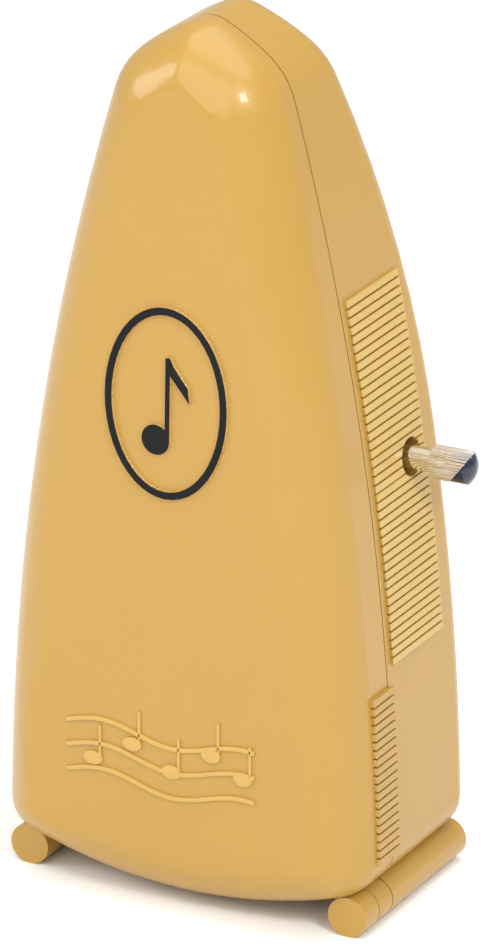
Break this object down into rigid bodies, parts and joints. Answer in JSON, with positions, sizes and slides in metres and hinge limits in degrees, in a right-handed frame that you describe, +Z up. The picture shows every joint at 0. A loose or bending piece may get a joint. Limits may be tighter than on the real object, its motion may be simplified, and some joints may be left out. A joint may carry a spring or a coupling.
{
  "type": "metronome",
  "caption": "Small wind-up pendulum metronome in a tapering moulded case with a lift-off front cover, round feet and a side key.",
  "frame": {"origin": "on the table, under the middle of the metronome's own box, key included", "axes": "+Z up, the front cover looks along -Y, the winding key is on the +X side"},
  "size_m": [0.0764, 0.0444, 0.1542],
  "materials": {
    "case_plastic": "moulded, soft gloss, gold",
    "face_plastic": "moulded, satin, pale gold",
    "scale_enamel": "printed, matt",
    "steel": "turned, bright",
    "spring_steel": "blued, smooth",
    "brass": "rolled, satin",
    "key_chrome": "plated, bright",
    "insert_black": "polished, blue-black",
    "badge_black": "polished black with gilt edges",
    "cast_weight": "cast, grey",
    "weight_finish": "nickel on brass, satin"
  },
  "bodies": {
    "case": {"rear_case": "case_plastic", "face_plate": "face_plastic", "scale_plate": "scale_enamel", "face_screws": "steel", "left_foot": "case_plastic", "right_foot": "case_plastic", "left_plate": "brass", "right_plate": "brass", "pillars": "steel", "front_bush": "brass", "rear_bush": "brass", "mainspring": "spring_steel", "rest_clip": "spring_steel", "cover_catch": "spring_steel"},
    "cover": {"front_cover": "case_plastic", "badge_oval": "badge_black", "badge_note": "badge_black", "left_foot_end": "case_plastic", "right_foot_end": "case_plastic"},
    "key": {"key_stem": "key_chrome", "key_sleeve": "key_chrome", "key_insert": "insert_black", "winding_arbor": "steel", "ratchet_wheel": "steel"},
    "great": {"great_wheel": "brass", "click_stud": "steel", "click_spring": "spring_steel"},
    "click_lever": {"click": "steel"},
    "second": {"second_arbor": "steel", "second_wheel": "brass"},
    "escape": {"escape_arbor": "steel", "escape_wheel": "brass"},
    "pendulum": {"pendulum_arbor": "steel", "pendulum_rod": "steel", "rod_hub": "brass", "counterweight": "cast_weight", "pallets": "steel"},
    "weight": {"sliding_weight": "weight_finish", "weight_spring": "spring_steel"}
  },
  "joints": [
    {"name": "cover_slide", "type": "slide", "parent": "case", "child": "cover", "axis": [0, -1, 0], "range_m": [0, 0.06]},
    {"name": "key_turn", "type": "hinge", "parent": "case", "child": "key", "pos_m": [-0.00319, 0.00935, 0.0775], "axis": [1, 0, 0], "continuous": true},
    {"name": "train_turn", "type": "hinge", "parent": "case", "child": "great", "pos_m": [-0.00319, 0.00935, 0.0775], "axis": [1, 0, 0], "continuous": true},
    {"name": "click_lift", "type": "hinge", "parent": "great", "child": "click_lever", "pos_m": [-0.00319, 0.01412, 0.07542], "axis": [1, 0, 0], "range_deg": [0, 10]},
    {"name": "second_turn", "type": "hinge", "parent": "case", "child": "second", "pos_m": [-0.00319, 0.00535, 0.06833], "axis": [1, 0, 0], "continuous": true},
    {"name": "escape_turn", "type": "hinge", "parent": "case", "child": "escape", "pos_m": [-0.00319, 0.00535, 0.05833], "axis": [1, 0, 0], "continuous": true},
    {"name": "pendulum_swing", "type": "hinge", "parent": "case", "child": "pendulum", "pos_m": [-0.00319, 0, 0.05], "axis": [0, 1, 0], "range_deg": [-8, 8]},
    {"name": "weight_slide", "type": "slide", "parent": "pendulum", "child": "weight", "axis": [0, 0, 1], "range_m": [-0.034, 0.02]}
  ],
  "couplings": [
    {"joint": "second_turn", "follows": "train_turn", "ratio": -3},
    {"joint": "escape_turn", "follows": "train_turn", "ratio": 9}
  ]
}
